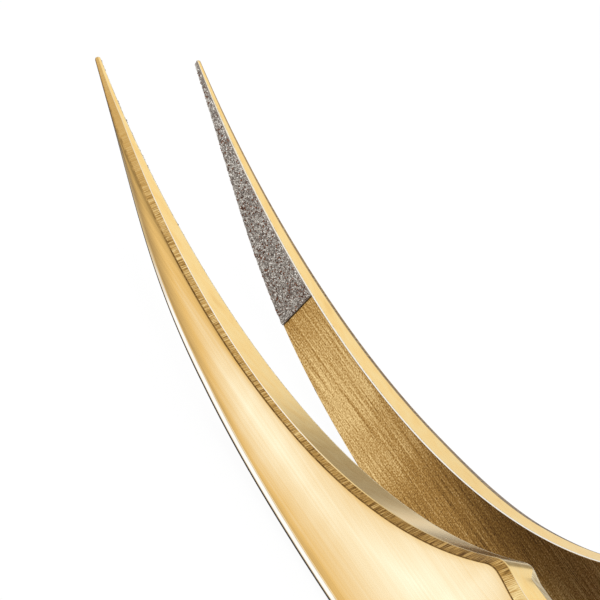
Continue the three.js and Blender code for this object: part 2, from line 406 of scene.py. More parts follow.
def cubic(x: float, start: Sequence[float], end: Sequence[float]) -> float:
    """Return a cubic's value between two (x, y, slope) ends."""
    x0, y0, m0 = start
    x1, y1, m1 = end
    s = (x - x0) / (x1 - x0)
    value = y0 * (1 + 2 * s) * (1 - s) ** 2 + y1 * s * s * (3 - 2 * s)
    return value + (x1 - x0) * s * (1 - s) * (m0 * (1 - s) - m1 * s)


def straight(a: Point, b: Point, steps: int, hold: float = 0.0) -> list[Point]:
    """Return the points of a straight stretch, without its end.

    Args:
        a: Where it starts.
        b: Where it ends.
        steps: How many points it has.
        hold: How close to both ends an extra point lies, or 0 for even steps.

    Returns:
        The points.
    """
    span = max(math.dist(a, b), 1e-9)
    kept = min(hold / span, 0.2)
    shares = [i / steps for i in range(steps)]
    if kept:
        inner = [lerp(kept, 1 - kept, i / (steps - 2)) for i in range(steps - 1)]
        shares = [0.0, *inner]
    return [(lerp(a[0], b[0], s), lerp(a[1], b[1], s)) for s in shares]


def corner(a: Point, b: Point, peak: Point, steps: int, full: float) -> list[Point]:
    """Return the points round a corner, without its end.

    Args:
        a: Where it starts.
        b: Where it ends.
        peak: Where the sharp corner would be.
        steps: How many points it has.
        full: 0 for a straight line, 1 for a quarter round.

    Returns:
        The points.
    """
    run = []
    middle = ((a[0] + b[0]) / 2, (a[1] + b[1]) / 2)
    for i in range(steps):
        t = i / steps
        arc_a, arc_b = math.sin(HALF_PI * t), 1 - math.cos(HALF_PI * t)
        bow = (arc_a + (1 - arc_b) - 1) * full
        y, z = lerp(a[0], b[0], t), lerp(a[1], b[1], t)
        run.append((y + bow * (peak[0] - middle[0]), z + bow * (peak[1] - middle[1])))
    return run


@dataclass
class ArmShape:
    """The form of one arm, the same as the CAD arm's, with its finer edges. In millimetres."""

    tail_x: float
    point_x: float
    heel_height: float = 9.1
    tail_height: float = 6.8
    point_height: float = 6.55
    heel_setback: float = 37.4
    heel_rounding: float = 0.45
    outer_heel_lift: float = 0.26
    outer_heel_rounding: float = 0.5
    outer_lift_fade: float = 2.5  # length behind the heel in which the outer side comes level
    belly_setback: float = 37.7
    point_edge: float = 0.2
    upper_point_angle: float = 16.8
    lower_point_angle: float = 19.9
    heel_rise_angle: float = 34.7
    upper_point_pull: float = 11.7
    upper_heel_pull: float = 12.4
    outer_rise_angle: float = 36.1
    outer_point_pull: float = 12.8
    outer_heel_pull: float = 11.8
    lower_point_pull: float = 12.3
    lower_belly_pull: float = 25.3
    tail_rounding: float = 2.6
    point_half_gap: float = 3.42
    heel_half_gap: float = 3.1
    spacer_length: float = 12.0
    spacer_front_half_gap: float = 0.75
    tail_half_gap: float = 0.45
    point_spread: float = 0.0125
    bow_spread: float = 0.13
    heel_spread: float = 0.045
    point_thickness: float = 0.25
    heel_thickness: float = 2.5
    tail_thickness: float = 1.3
    point_taper_power: float = 1.6
    point_chamfer: float = 0.27
    root_chamfer: float = 0.14
    heel_chamfer: float = 0.37
    heel_flare_run: float = 16.8
    heel_flare_power: float = 1.3
    handle_chamfer: float = 0.65
    handle_chamfer_run: float = 9.0
    handle_roundness: float = 0.15  # of the chamfer, as for ridge_roundness
    inner_bevel_width: float = 0.85
    inner_bevel_drop: float = 0.22
    inner_bevel_run: float = 1.3
    lower_rounding: float = 0.7
    edge_break: float = 0.045
    face_dome: float = 0.1
    end_rounding: float = 0.1
    tip_size: float = 0.03  # least height and thickness of the very point
    ridge_roundness: float = 0.0  # 0 for a crisp chamfer, 1 for a full round
    ridge_share: float = 0.0  # a full round's radius, as a share of the thickness
    heel_ridge_share: float = 0.0  # the same near the heel
    ridge_run: float = 14.0  # how far ahead of the heel the one becomes the other
    weld_radius: float = 1.3
    weld_depth: float = 0.07
    weld_places: tuple[float, float] = (0.3, 0.75)  # shares of the spacer's length
    weld_steepness: float = 2.5
    upper: Callable[[float], float] = field(init=False)
    outer_upper: Callable[[float], float] = field(init=False)
    lower: Callable[[float], float] = field(init=False)

    def __post_init__(self) -> None:
        """Work out the edges of the side outline."""
        inner_pulls = (self.upper_heel_pull, self.upper_point_pull)
        outer_pulls = (self.outer_heel_pull, self.outer_point_pull)
        self.upper = self._upper_edge(0.0, self.heel_rounding, self.heel_rise_angle, inner_pulls)
        self.outer_upper = self._upper_edge(
            self.outer_heel_lift, self.outer_heel_rounding, self.outer_rise_angle, outer_pulls
        )
        belly = (self.point_x - self.belly_setback, 0.0)
        belly_pull = (belly[0] + self.lower_belly_pull, 0.0)
        point = (self.point_x, self.point_height - self.point_edge / 2)
        point_pull = offset(point, -self.lower_point_pull, self.lower_point_angle)
        run = bezier([belly, belly_pull, point_pull, point], 400)
        self.lower = height_along([(self.tail_x, 0.0), *run])

    def _upper_edge(
        self, lift: float, rounding: float, rise: float, pulls: tuple[float, float]
    ) -> Callable[[float], float]:
        """Return one side of the upper edge.

        Args:
            lift: How much higher than the inner side it stands at the heel.
            rounding: The length of the heel's rounding to each side.
            rise: The angle at which the blade rises to the heel.
            pulls: The curve's pulls at the heel and at the point.

        Returns:
            The edge's height function.
        """
        heel = (self.heel_x, self.heel_height + lift)
        tail = (self.tail_x, self.tail_height)
        point = (self.point_x, self.point_height + self.point_edge / 2)
        climb = math.degrees(math.atan2(heel[1] - tail[1], heel[0] - tail[0]))
        before = offset(heel, -rounding, climb)
        after = offset(heel, rounding, -rise)
        pull = offset(heel, pulls[0], -rise)
        point_pull = offset(point, -pulls[1], self.upper_point_angle)
        nose = bezier([before, heel, after], 24)
        return height_along([tail, *nose, *bezier([after, pull, point_pull, point], 400)[1:]])

    @property
    def heel_x(self) -> float:
        """Where the upper edge has its corner."""
        return self.point_x - self.heel_setback

    @property
    def spacer_front_x(self) -> float:
        """Where the arm leaves the spacer."""
        return self.tail_x + self.spacer_length

    def inner(self, x: float) -> float:
        """Return how far the inner face lies from the plane between the arms."""
        front = (self.spacer_front_x, self.spacer_front_half_gap, self.bow_spread)
        heel = (self.heel_x, self.heel_half_gap)
        if x <= self.spacer_front_x:
            share = (x - self.tail_x) / self.spacer_length
            return lerp(self.tail_half_gap, self.spacer_front_half_gap, share)
        if x <= self.heel_x:
            return cubic(x, front, (*heel, self.heel_spread))
        return cubic(x, (*heel, 0.0), (self.point_x, self.point_half_gap, self.point_spread))

    def thickness(self, x: float) -> float:
        """Return the arm's thickness."""
        if x >= self.heel_x:
            along = (self.point_x - x) / self.heel_setback
            full = 1 - (1 - along) ** self.point_taper_power
            return lerp(self.point_thickness, self.heel_thickness, full)
        share = (x - self.tail_x) / (self.heel_x - self.tail_x)
        return lerp(self.tail_thickness, self.heel_thickness, share)

    def chamfer_size(self, x: float) -> float:
        """Return the size of the outer chamfer along the upper edge."""
        ahead = x - self.heel_x
        if ahead < 0:
            return lerp(self.heel_chamfer, self.handle_chamfer, smooth(-ahead / self.handle_chamfer_run))
        base = lerp(self.root_chamfer, self.point_chamfer, ahead / self.heel_setback)
        flare = max(1 - ahead / self.heel_flare_run, 0.0) ** self.heel_flare_power
        return base + (self.heel_chamfer - self.root_chamfer) * flare

    def end_margin(self, x: float) -> float:
        """Return how much the rounded ends take off the section all round."""
        inside = self.end_rounding - min(x - self.tail_x, self.point_x - x)
        if inside <= 0:
            return 0.0
        return self.end_rounding - math.sqrt(max(self.end_rounding**2 - inside**2, 0.0))

    def tail_trim(self, x: float) -> float:
        """Return how much the tail's round corners take off the upper and lower edges."""
        inside = self.tail_x + self.tail_rounding - x
        if inside <= 0:
            return 0.0
        return self.tail_rounding - math.sqrt(max(self.tail_rounding**2 - inside**2, 0.0))

    def weld_dip(self, x: float, z: float) -> float:
        """Return the depth of the spot-weld marks on the outer face."""
        dip = 0.0
        for share in self.weld_places:
            centre = self.tail_x + share * self.spacer_length
            far = math.hypot(x - centre, z - self.upper(centre) / 2) / self.weld_radius
            dip += self.weld_depth * smooth((1.0 - far) * self.weld_steepness)
        return dip

    def section(self, x: float) -> list[tuple[Zone, list[Point]]]:
        """Return the section across X, zone by zone.

        Args:
            x: The place along the arm.

        Returns:
            Each zone with its points as (y, z); a zone ends where the next one starts.
        """
        margin = self.end_margin(x)
        low = self.lower(x) + self.tail_trim(x) + margin
        high = self.upper(x) - self.tail_trim(x) - margin
        level = smooth((self.heel_x - x) / self.outer_lift_fade)
        outer_high = lerp(self.outer_upper(x), self.upper(x), level) - self.tail_trim(x) - margin
        near = self.inner(x) + margin
        far = self.inner(x) + self.thickness(x) - margin
        if x >= self.point_x - self.end_rounding:
            high = max(high, low + self.tip_size)
            outer_high = max(outer_high, low + self.tip_size)
            far = max(far, near + self.tip_size)
        room = min(high - low, far - near)
        handle = smooth((self.heel_x - x) / self.handle_chamfer_run)
        crisp = min(self.chamfer_size(x), CHAMFER_ROOM * room)
        swelling = smooth((self.heel_x + self.ridge_run - x) / (0.6 * self.ridge_run))
        full = lerp(self.ridge_share, self.heel_ridge_share, swelling) * (far - near)
        chamfer = lerp(crisp, full, self.ridge_roundness * (1 - handle))
        roundness = lerp(self.ridge_roundness, self.handle_roundness, handle)
        bevel = smooth((self.heel_x - x) / self.inner_bevel_run)
        width = min(self.inner_bevel_width * bevel, BEVEL_ROOM * room)
        drop = min(self.inner_bevel_drop * bevel, BEVEL_ROOM * room)
        edge = min(self.edge_break, EDGE_ROOM * room)
        valley = 0.6 * edge * (1 - roundness)
        rounding = min(self.lower_rounding, ROUNDING_ROOM * room)
        dome = min(self.face_dome, DOME_ROOM * room)
        k0 = (near, low + edge)
        k1 = (near, high - drop - edge)
        k2 = (near + edge, high - drop)
        k3 = (near + max(width, 2 * edge), high)
        k4 = (far - chamfer - edge, outer_high)
        k5 = (far - chamfer, outer_high - 0.4 * edge)
        k6 = (far - valley, outer_high - chamfer)
        k7 = (far, outer_high - chamfer - 1.5 * edge)
        k8 = (far, low + rounding)
        k9 = (far - rounding, low)
        k10 = (near + edge, low)
        hold = self.edge_break
        face = []
        for y, z in straight(k7, k8, 30, hold):
            share = (k7[1] - z) / (k7[1] - k8[1])
            swell = dome * 4 * share * (1 - share)
            face.append((y + swell - self.weld_dip(x, z), z))
        return [
            (Zone.INNER_FACE, straight(k0, k1, 14, hold)),
            (Zone.INNER_EDGE, corner(k1, k2, (k1[0], k2[1]), 2, 1.0)),
            (Zone.INNER_BEVEL, straight(k2, k3, 4, 0.02)),
            (Zone.UPPER_EDGE, straight(k3, k4, 8, hold)),
            (Zone.RIDGE, straight(k4, k5, 2)),
            (Zone.CHAMFER, corner(k5, k6, (k6[0], k5[1]), 10, roundness)),
            (Zone.VALLEY, straight(k6, k7, 2)),
            (Zone.OUTER_FACE, face),
            (Zone.LOWER_ROUND, corner(k8, k9, (k8[0], k9[1]), 10, 1.0)),
            (Zone.LOWER_EDGE, straight(k9, k10, 6, hold)),
            (Zone.LOWER_BREAK, corner(k10, k0, (k0[0], k10[1]), 2, 1.0)),
        ]

    def stations(self) -> list[float]:
        """Return the places along the arm that get a section."""

        def run(start: float, end: float, steps: int) -> list[float]:
            """Return evenly spaced places, without the last."""
            return [lerp(start, end, i / steps) for i in range(steps)]

        tip = self.point_x - self.end_rounding
        ends = [math.sin(HALF_PI * i / 6) for i in range(7)]
        start = [self.tail_x + self.end_rounding * (1 - math.cos(HALF_PI * i / 6)) for i in range(6)]
        finish = [tip + self.end_rounding * share for share in ends]
        corner_end = self.tail_x + self.tail_rounding
        corner_from = self.tail_x + self.end_rounding
        corner = [
            lerp(corner_from, corner_end, 1 - math.cos(HALF_PI * i / 14)) for i in range(14)
        ]
        return [
            *start,
            *corner,
            *run(corner_end, self.spacer_front_x + 1, 44),
            *run(self.spacer_front_x + 1, self.heel_x - 4, 84),
            *run(self.heel_x - 4, self.heel_x - 1, 20),
            *run(self.heel_x - 1, self.heel_x + 1, 32),
            *run(self.heel_x + 1, self.point_x - 4, 130),
            *run(self.point_x - 4, tip, 34),
            *finish,
        ]


def mesh_from(bm: bmesh.types.BMesh, name: str) -> bpy.types.Mesh:
    """Return a new mesh that holds a bmesh, which is freed."""
    mesh = bpy.data.meshes.new(name)
    bm.to_mesh(mesh)
    bm.free()
    return mesh


def linked(name: str, data: bpy.types.ID) -> bpy.types.Object:
    """Return a new object of the scene."""
    made = bpy.data.objects.new(name, data)
    bpy.context.scene.collection.objects.link(made)
    return made


def finished(mesh: bpy.types.Mesh, materials: Sequence[bpy.types.Material]) -> bpy.types.Object:
    """Return the object for a mesh, with its mesh's name.

    Args:
        mesh: Its mesh, in place.
        materials: Its materials, in slot order.

    Returns:
        The object, at the origin.
    """
    for material in materials:
        mesh.materials.append(material)
    mesh.polygons.foreach_set("use_smooth", [True] * len(mesh.polygons))
    return linked(mesh.name, mesh)


class Side(Enum):
    """The two arms, by the sign of Y."""

    LEFT = 1
    RIGHT = -1

    @property
    def label(self) -> str:
        """The side's name in the frame."""
        return self.name.lower()

    @property
    def body(self) -> str:
        """The CAD body that the arm belongs to."""
        return f"{self.label}_side"


@dataclass
class Finishes:
    """The finishes of the tongs, made once; their tones paint light and shade onto the gold."""

    # Painted shade and highlight on the outer face: palest, near cream, about seven tenths of the way to
    # the point, dark brown at the point, and darker at the face's top and bottom.
    satin_with_painted_light: GoldFinish = GoldFinish(
        name="satin_gold_painted_light",
        shades=((0.085, 0.040, 0.010), (0.76, 0.48, 0.16), (1.0, 0.91, 0.66)),
        roughness=0.20,
        along=0.10,
        across=9.0,
        depth=0.0000008,
        wear=0.24,
        tones_and_painted_light=(
            (0.0, 0.70), (0.69, 0.92), (0.72, 1.0), (0.765, 0.84), (0.835, 0.94), (0.870, 0.68),
            (0.925, 0.46), (1.0, 0.14),
        ),
        painted_shade_across=((0.0, 0.60), (0.08, 0.82), (0.35, 1.0), (0.60, 0.80), (0.85, 0.62), (1.0, 0.40)),
    )
    # Painted reflection and shade on the lower rounding: a near-white strip just below the face, dark brown
    # beyond it, fading to dark near the point.
    rim_with_painted_light: GoldFinish = GoldFinish(
        name="rim_gold_painted_light",
        shades=((0.050, 0.022, 0.006), (0.62, 0.44, 0.20), (1.0, 0.97, 0.91)),
        roughness=0.10,
        along=0.2,
        across=3.0,
        depth=0.0000004,
        wear=0.2,
        tones_and_painted_light=((0.0, 1.0), (0.89, 1.0), (0.93, 0.5), (0.97, 0.12)),
        painted_shade_across=((0.0, 0.38), (0.05, 0.90), (0.09, 1.0), (0.24, 1.0), (0.29, 0.35), (0.33, 0.05)),
    )
    # Painted highlight on the ridge: a near-white line, dim at about seven tenths of the way to the point
    # and bright from eight tenths on.
    ridge: GoldFinish = GoldFinish(
        name="ridge_gold_painted_highlight",
        shades=((0.13, 0.070, 0.020), (0.92, 0.66, 0.28), (1.0, 0.96, 0.86)),
        roughness=0.18,
        along=0.6,
        across=3.0,
        depth=0.0000004,
        wear=0.4,
        tones_and_painted_light=((0.0, 0.6), (0.695, 0.7), (0.705, 0.2), (0.77, 0.4), (0.82, 0.95), (0.93, 0.9), (1.0, 0.55)),
    )
    # Painted highlight on the inner edge: pale, near-white gold, dimmer across the edge's far side and at
    # the point.
    painted_gleam: GoldFinish = GoldFinish(
        name="painted_gleam_gold",
        shades=((0.80, 0.66, 0.42), (0.95, 0.86, 0.68), (1.0, 0.97, 0.90)),
        roughness=0.16,
        along=0.2,
        across=3.0,
        depth=0.0000004,
        wear=0.3,
        tones_and_painted_light=((0.0, 0.8), (0.90, 0.9), (1.0, 0.5)),
        painted_shade_across=((0.0, 1.0), (0.5, 1.0), (0.85, 0.3)),
    )
    polished: GoldFinish = GoldFinish(
        name="polished_gold",
        shades=((0.72, 0.42, 0.11), (0.98, 0.68, 0.26), (1.0, 0.80, 0.40)),
        roughness=0.14,
        along=0.9,
        across=2.5,
        depth=0.0000010,
        wear=0.9,
        tones_and_painted_light=((0.0, 0.6), (1.0, 0.6)),
    )
    # Painted light and shade along the chamfer: dark from seven tenths of the way to the point, lightening
    # again towards it; the grinding marks are real.
    ground: GoldFinish = GoldFinish(
        name="ground_gold_painted_light",
        shades=((0.12, 0.052, 0.010), (0.60, 0.35, 0.10), (1.0, 0.78, 0.38)),
        roughness=0.26,
        along=30.0,
        across=1.1,
        depth=0.0000034,
        wear=3.0,
        tones_and_painted_light=(
            (0.0, 0.62), (0.694, 0.86), (0.701, 0.16), (0.76, 0.30), (0.86, 0.46), (0.93, 0.52),
            (1.0, 0.60),
        ),
        fades=((0.0, 1.0), (0.92, 1.0), (0.97, 0.12)),
        slant=-0.15,
        broad=0.15,
    )
    # Painted shade in the valley under the chamfer: deep brown, a little less dark near the point.
    painted_valley_shade: GoldFinish = GoldFinish(
        name="valley_gold_painted_shade",
        shades=((0.06, 0.026, 0.006), (0.19, 0.098, 0.026), (0.66, 0.40, 0.13)),
        roughness=0.34,
        along=6.0,
        across=1.6,
        depth=0.0000020,
        wear=1.0,
        tones_and_painted_light=((0.0, 0.5), (0.90, 0.5), (0.96, 0.9)),
    )
    # Painted light and shade along the inner face: dark from about three quarters of the way to the point,
    # brightest near 0.85 of the way, darker again from 0.9; the brushing is real.
    brushed: GoldFinish = GoldFinish(
        name="brushed_gold_painted_shade",
        shades=((0.085, 0.038, 0.012), (0.42, 0.225, 0.055), (0.96, 0.71, 0.33)),
        roughness=0.32,
        along=0.30,
        across=22.0,
        depth=0.0000020,
        wear=1.25,
        tones_and_painted_light=(
            (0.0, 0.66), (0.70, 0.66), (0.745, 0.34), (0.80, 0.44), (0.845, 0.70), (0.875, 0.62),
            (0.90, 0.40),
        ),
        grain=1.5,
    )
    # Partly painted light: the pale, creamy shades brighten the bevel beyond the gold's own colour, while
    # its marks are real.
    bevelled_with_painted_light: GoldFinish = GoldFinish(
        name="bevel_gold_painted_light",
        shades=((0.30, 0.20, 0.08), (0.92, 0.76, 0.46), (1.0, 0.92, 0.72)),
        roughness=0.36,
        along=8.0,
        across=2.0,
        depth=0.0000090,
        wear=2.0,
        tones_and_painted_light=((0.0, 0.5), (1.0, 0.5)),
        slant=-0.8,
    )
    made: dict[str, bpy.types.Material] = field(default_factory=dict)

    def get(self, finish: GoldFinish | GritFinish) -> bpy.types.Material:
        """Return a finish's material, made at its first use."""
        if finish.name not in self.made:
            self.made[finish.name] = finish.material()
        return self.made[finish.name]

    def for_zone(self, zone: Zone) -> GoldFinish:
        """Return the finish that a zone of an arm has."""
        table = {
            Zone.INNER_FACE: self.brushed,
            Zone.INNER_EDGE: self.painted_gleam,
            Zone.INNER_BEVEL: self.bevelled_with_painted_light,
            Zone.RIDGE: self.ridge,
            Zone.CHAMFER: self.ground,
            Zone.VALLEY: self.painted_valley_shade,
            Zone.OUTER_FACE: self.satin_with_painted_light,
            Zone.LOWER_ROUND: self.rim_with_painted_light,
        }
        return table.get(zone, self.polished)


@dataclass
class Arm:
    """One sprung arm, a single ground leaf."""

    side: Side
    shape: ArmShape
    finishes: Finishes
    bend_length: float = 62.0  # millimetres in front of the spacer

    def build(self) -> bpy.types.Object:
        """Return the arm as a finished piece."""
        stations = self.shape.stations()
        sections = [self.shape.section(x) for x in stations]
        zones = [zone for zone, points in sections[0] for _ in points]
        rings = [[p for _, points in section for p in points] for section in sections]
        around = len(zones)
        span = stations[-1] - stations[0]
        bm = bmesh.new()
        bmesh.ops.create_grid(bm, x_segments=len(stations) - 1, y_segments=around, size=1.0)
        place = bm.loops.layers.uv.new(Map.MILLIMETRES.value)
        share = bm.loops.layers.uv.new(Map.SHARE.value)
        finishes = list(dict.fromkeys(self.finishes.for_zone(zone) for zone in zones))
        slots = [finishes.index(self.finishes.for_zone(zone)) for zone in zones]
        girths = [self._girth(ring) for ring in rings]
        level = [zone in (Zone.INNER_FACE, Zone.OUTER_FACE) for zone in zones]
        shares = self._zone_shares(sections[0])
        last = len(stations) - 1
        spots: dict[bmesh.types.BMVert, tuple[int, int]] = {}
        for vert in bm.verts:
            i = round((vert.co.x + 1) / 2 * last)
            j = round((vert.co.y + 1) / 2 * around)
            spots[vert] = (i, j)
        for face in bm.faces:
            corner = min(spots[loop.vert][1] for loop in face.loops)
            face.material_index = slots[corner]
            for loop in face.loops:
                i, j = spots[loop.vert]
                across = rings[i][j % around][1] if level[corner] else girths[i][j]
                loop[place].uv = (stations[i] - stations[0], across)
                reach = (stations[i] - stations[0]) / span
                loop[share].uv = (reach, shares[corner] if j == corner else shares[corner + 1])
        for vert, (i, j) in spots.items():
            y, z = rings[i][j % around]
            vert.co = Vector((stations[i], y * self.side.value, z)) * MM
        bmesh.ops.remove_doubles(bm, verts=bm.verts[:], dist=1e-9)
        bmesh.ops.holes_fill(bm, edges=[e for e in bm.edges if e.is_boundary], sides=0)
        bmesh.ops.triangulate(bm, faces=[f for f in bm.faces if len(f.verts) > 4])
        bmesh.ops.recalc_face_normals(bm, faces=bm.faces[:])
        mesh = mesh_from(bm, f"{self.side.label}_arm_leaf")
        piece = finished(mesh, [self.finishes.get(finish) for finish in finishes])
        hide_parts(f"{self.side.label}_arm")
        self.side.body
        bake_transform(piece)
        return piece

    @staticmethod
    def _girth(ring: Sequence[Point]) -> list[float]:
        """Return the length round a section up to each of its points and back to the first."""
        total = [0.0]
        for a, b in zip(ring, [*ring[1:], ring[0]]):
            total.append(total[-1] + math.dist(a, b))
        return total

    @staticmethod
    def _zone_shares(section: Sequence[tuple[Zone, list[Point]]]) -> list[float]:
        """Return each point's share of the way across its zone, and 1 after the last."""
        return [i / len(points) for _, points in section for i in range(len(points))] + [1.0]


@dataclass
class GritCoat:
    """The bonded grit on the inner face of one jaw."""

    side: Side
    shape: ArmShape
    finishes: Finishes
    length: float = 13.9
    thickness: float = 0.12
    bond_gap: float = 0.02
    edge_inset: float = 0.03
    end_lean: float = 0.15  # how much the back end leans forward, per millimetre down
    end_gap: float = 0.12
    grain: float = 0.056
    spacing: float = 0.072
    row_spacing: float = 0.9  # as a share of the spacing across
    bed_share: float = 0.45  # how much of the thickness is bed
    bed_roughness: float = 0.02
    bed_cuts: tuple[int, int] = (150, 12)  # along the jaw and across it
    seed: int = 7

    def build(self) -> bpy.types.Object:
        """Return the coat and its grains as one finished piece."""
        chance = random.Random(self.seed + self.side.value)
        bm = bmesh.new()
        self._bed(bm, bm.verts.layers.float.new("tint"))
        x = self.back_end(0.0)
        while x < self.shape.point_x - self.end_gap:
            row = self._row(chance, x)
            bm.from_mesh(row)
            bpy.data.meshes.remove(row)
            x += self.spacing * self.row_spacing
        mesh = mesh_from(bm, f"{self.side.label}_grit_coat")
        piece = finished(mesh, [self.finishes.get(GritFinish())])
        mesh.polygons.foreach_set("use_smooth", [False] * len(mesh.polygons))
        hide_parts(f"{self.side.label}_grit")
        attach(piece, self.side.body)
        return piece

    def _row(self, chance: random.Random, x: float) -> bpy.types.Mesh:
        """Return one row of grains across the jaw.

        Args:
            chance: Where the random numbers come from.
            x: The row's place along the arm.

        Returns:
            The row's mesh.
        """
        bm = bmesh.new()
        tint = bm.verts.layers.float.new("tint")
        low = self.shape.lower(x) + self.edge_inset
        high = self.shape.upper(x) - self.edge_inset
        count = max(int((high - low) / self.spacing), 1)
        for k in range(count + 1):
            z = lerp(low, high, (k + chance.uniform(0.0, 0.9)) / (count + 1))
            place = x + chance.uniform(-0.03, 0.03)
            if place > self.back_end(high - z) + self.grain * 0.6:
                self._grain(bm, tint, chance, place, z)
        return mesh_from(bm, "grain_row")

    def back_end(self, depth: float) -> float:
        """Return where the coat starts, at a depth under the arm's upper edge."""
        return self.shape.point_x - self.length + self.end_lean * depth

    def _surface(self, x: float) -> float:
        """Return the bed's face, as a distance from the plane between the arms."""
        return self.shape.inner(x) - self.bond_gap - self.bed_share * self.thickness

    def _bed(self, bm: bmesh.types.BMesh, tint: object) -> None:
        """Add the nickel bed that the grains stand in."""
        along, across = self.bed_cuts
        made = bmesh.ops.create_grid(bm, x_segments=along, y_segments=across, size=1.0)["verts"]
        start = self.back_end(0.0)
        depth = self.shape.upper(start) - self.shape.lower(start)
        for vert in made:
            end = self.back_end(depth * (1 - vert.co.y) / 2)
            x = lerp(end, self.shape.point_x - self.end_gap, (vert.co.x + 1) / 2)
            low, high = self.shape.lower(x), self.shape.upper(x)
            z = lerp(low + self.edge_inset, high - self.edge_inset, (vert.co.y + 1) / 2)
            rough = noise.noise(Vector((x, z, 3.0)) * 9.0) * self.bed_roughness
            vert.co = Vector((x, self.side.value * (self._surface(x) + rough), z)) * MM
            vert[tint] = 0.25
        faces = bm.faces[:]
        bmesh.ops.recalc_face_normals(bm, faces=faces)
        if faces[0].normal.y * self.side.value > 0:
            bmesh.ops.reverse_faces(bm, faces=faces)
        bmesh.ops.solidify(bm, geom=faces, thickness=self.bed_share * self.thickness * MM)

    def _grain(
        self, bm: bmesh.types.BMesh, tint: object, chance: random.Random, x: float, z: float
    ) -> None:
        """Add one angular grain, half sunk in the bed."""
        size = self.grain * chance.uniform(0.55, 1.1)
        made = bmesh.ops.create_icosphere(bm, subdivisions=1, radius=1.0)["verts"]
        turn = Quaternion([chance.gauss(0, 1) for _ in range(4)])
        turn.normalize()
        shade = chance.random()
        low, high = self.shape.lower(x) + 0.02, self.shape.upper(x) - 0.02
        proud = self._surface(x) - size * chance.uniform(0.1, 0.35)
        for vert in made:
            out = turn @ (vert.co * chance.uniform(0.75, 1.1)) * size
            height = min(max(z + out.z, low), high)
            depth = max(proud + out.y * 0.7, self.shape.inner(x) - self.bond_gap - self.thickness)
            vert.co = Vector((x + out.x, self.side.value * depth, height)) * MM
            vert[tint] = shade


@dataclass
class TailSpacer:
    """The wedge that both arms are welded to."""

    shape: ArmShape
    finishes: Finishes
    weld_gap: float = 0.05
    tail_inset: float = 0.02
    edge_break: float = 0.06
    cuts: tuple[int, int] = (40, 6)  # along the wedge and up it
    crowding: float = 1.6  # how closely the cuts crowd towards the tail

    def build(self) -> bpy.types.Object:
        """Return the spacer as a finished piece."""
        shape = self.shape
        bm = bmesh.new()
        along, up = self.cuts
        made = bmesh.ops.create_grid(bm, x_segments=along, y_segments=up, size=1.0)["verts"]
        start, end = shape.tail_x + self.tail_inset, shape.spacer_front_x
        for vert in made:
            share = (vert.co.x + 1) / 2
            x = lerp(start, end, share**self.crowding)
            low = shape.tail_trim(x)
            high = shape.upper(x) - shape.tail_trim(x)
            vert.co = Vector((x, 0, lerp(low, high, (vert.co.y + 1) / 2))) * MM
        ring = bmesh.ops.extrude_face_region(bm, geom=bm.faces[:])
        moved = {g for g in ring["geom"] if isinstance(g, bmesh.types.BMVert)}
        for vert in bm.verts:
            half = shape.inner(vert.co.x / MM) - self.weld_gap
            vert.co.y = (half if vert in moved else -half) * MM
        bmesh.ops.recalc_face_normals(bm, faces=bm.faces[:])
        sharp = [e for e in bm.edges if e.is_manifold and e.calc_face_angle() > math.radians(50)]
        width = self.edge_break * MM
        bmesh.ops.bevel(
            bm, geom=sharp, offset=width, segments=2, profile=0.5, affect="EDGES", material=-1
        )
        place = bm.loops.layers.uv.new(Map.MILLIMETRES.value)
        bm.loops.layers.uv.new(Map.SHARE.value)
        for face in bm.faces:
            for loop in face.loops:
                co = loop.vert.co / MM
                loop[place].uv = (co.x - shape.tail_x, co.y + co.z)
        mesh = mesh_from(bm, "tail_wedge")
        piece = finished(mesh, [self.finishes.get(self.finishes.brushed)])
        mesh.set_sharp_from_angle(angle=math.radians(35))
        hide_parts("tail_spacer")
        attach(piece, "tail")
        return piece


# ---------------------------------------- studio


@dataclass
class Softbox:
    """One soft light, which shows neither to the camera nor in the metal."""

    name: str
    place: tuple[float, float, float]
    size: tuple[float, float]
    watts: float

    def build(self, target: Vector) -> bpy.types.Object:
        """Return the light, turned to the target."""
        light = bpy.data.lights.new(self.name, "AREA")
        light.shape = "RECTANGLE"
        light.size, light.size_y = self.size
        light.energy = self.watts
        made = linked(self.name, light)
        made.location = Vector(self.place)
        made.rotation_mode = "QUATERNION"
        made.rotation_quaternion = (made.location - target).to_track_quat("Z", "Y")
        made.visible_camera = False
        made.visible_glossy = False
        return made


@dataclass(frozen=True)
class Card:
    """A soft-edged patch of the surround that shows in the metal."""

    towards: Colour
    full: float  # degrees from its middle at which it starts to fade
    gone: float  # degrees at which it has faded
    level: float
    tint: Colour = (1.0, 1.0, 1.0)

    def over(self, bench: Bench, direction: Signal, ground: Signal) -> Signal:
        """Return the surround with the card over it."""
        aim = Vector(self.towards).normalized()
        dot = bench.node(
            "ShaderNodeVectorMath", {"operation": "DOT_PRODUCT"}, {0: direction, 1: aim}, "Value"
        )
        edge = (math.cos(math.radians(self.gone)), math.cos(math.radians(self.full)))
        shade = tuple(self.level * part for part in self.tint)
        return bench.mix(dot.between(*edge), ground, (*shade, 1))


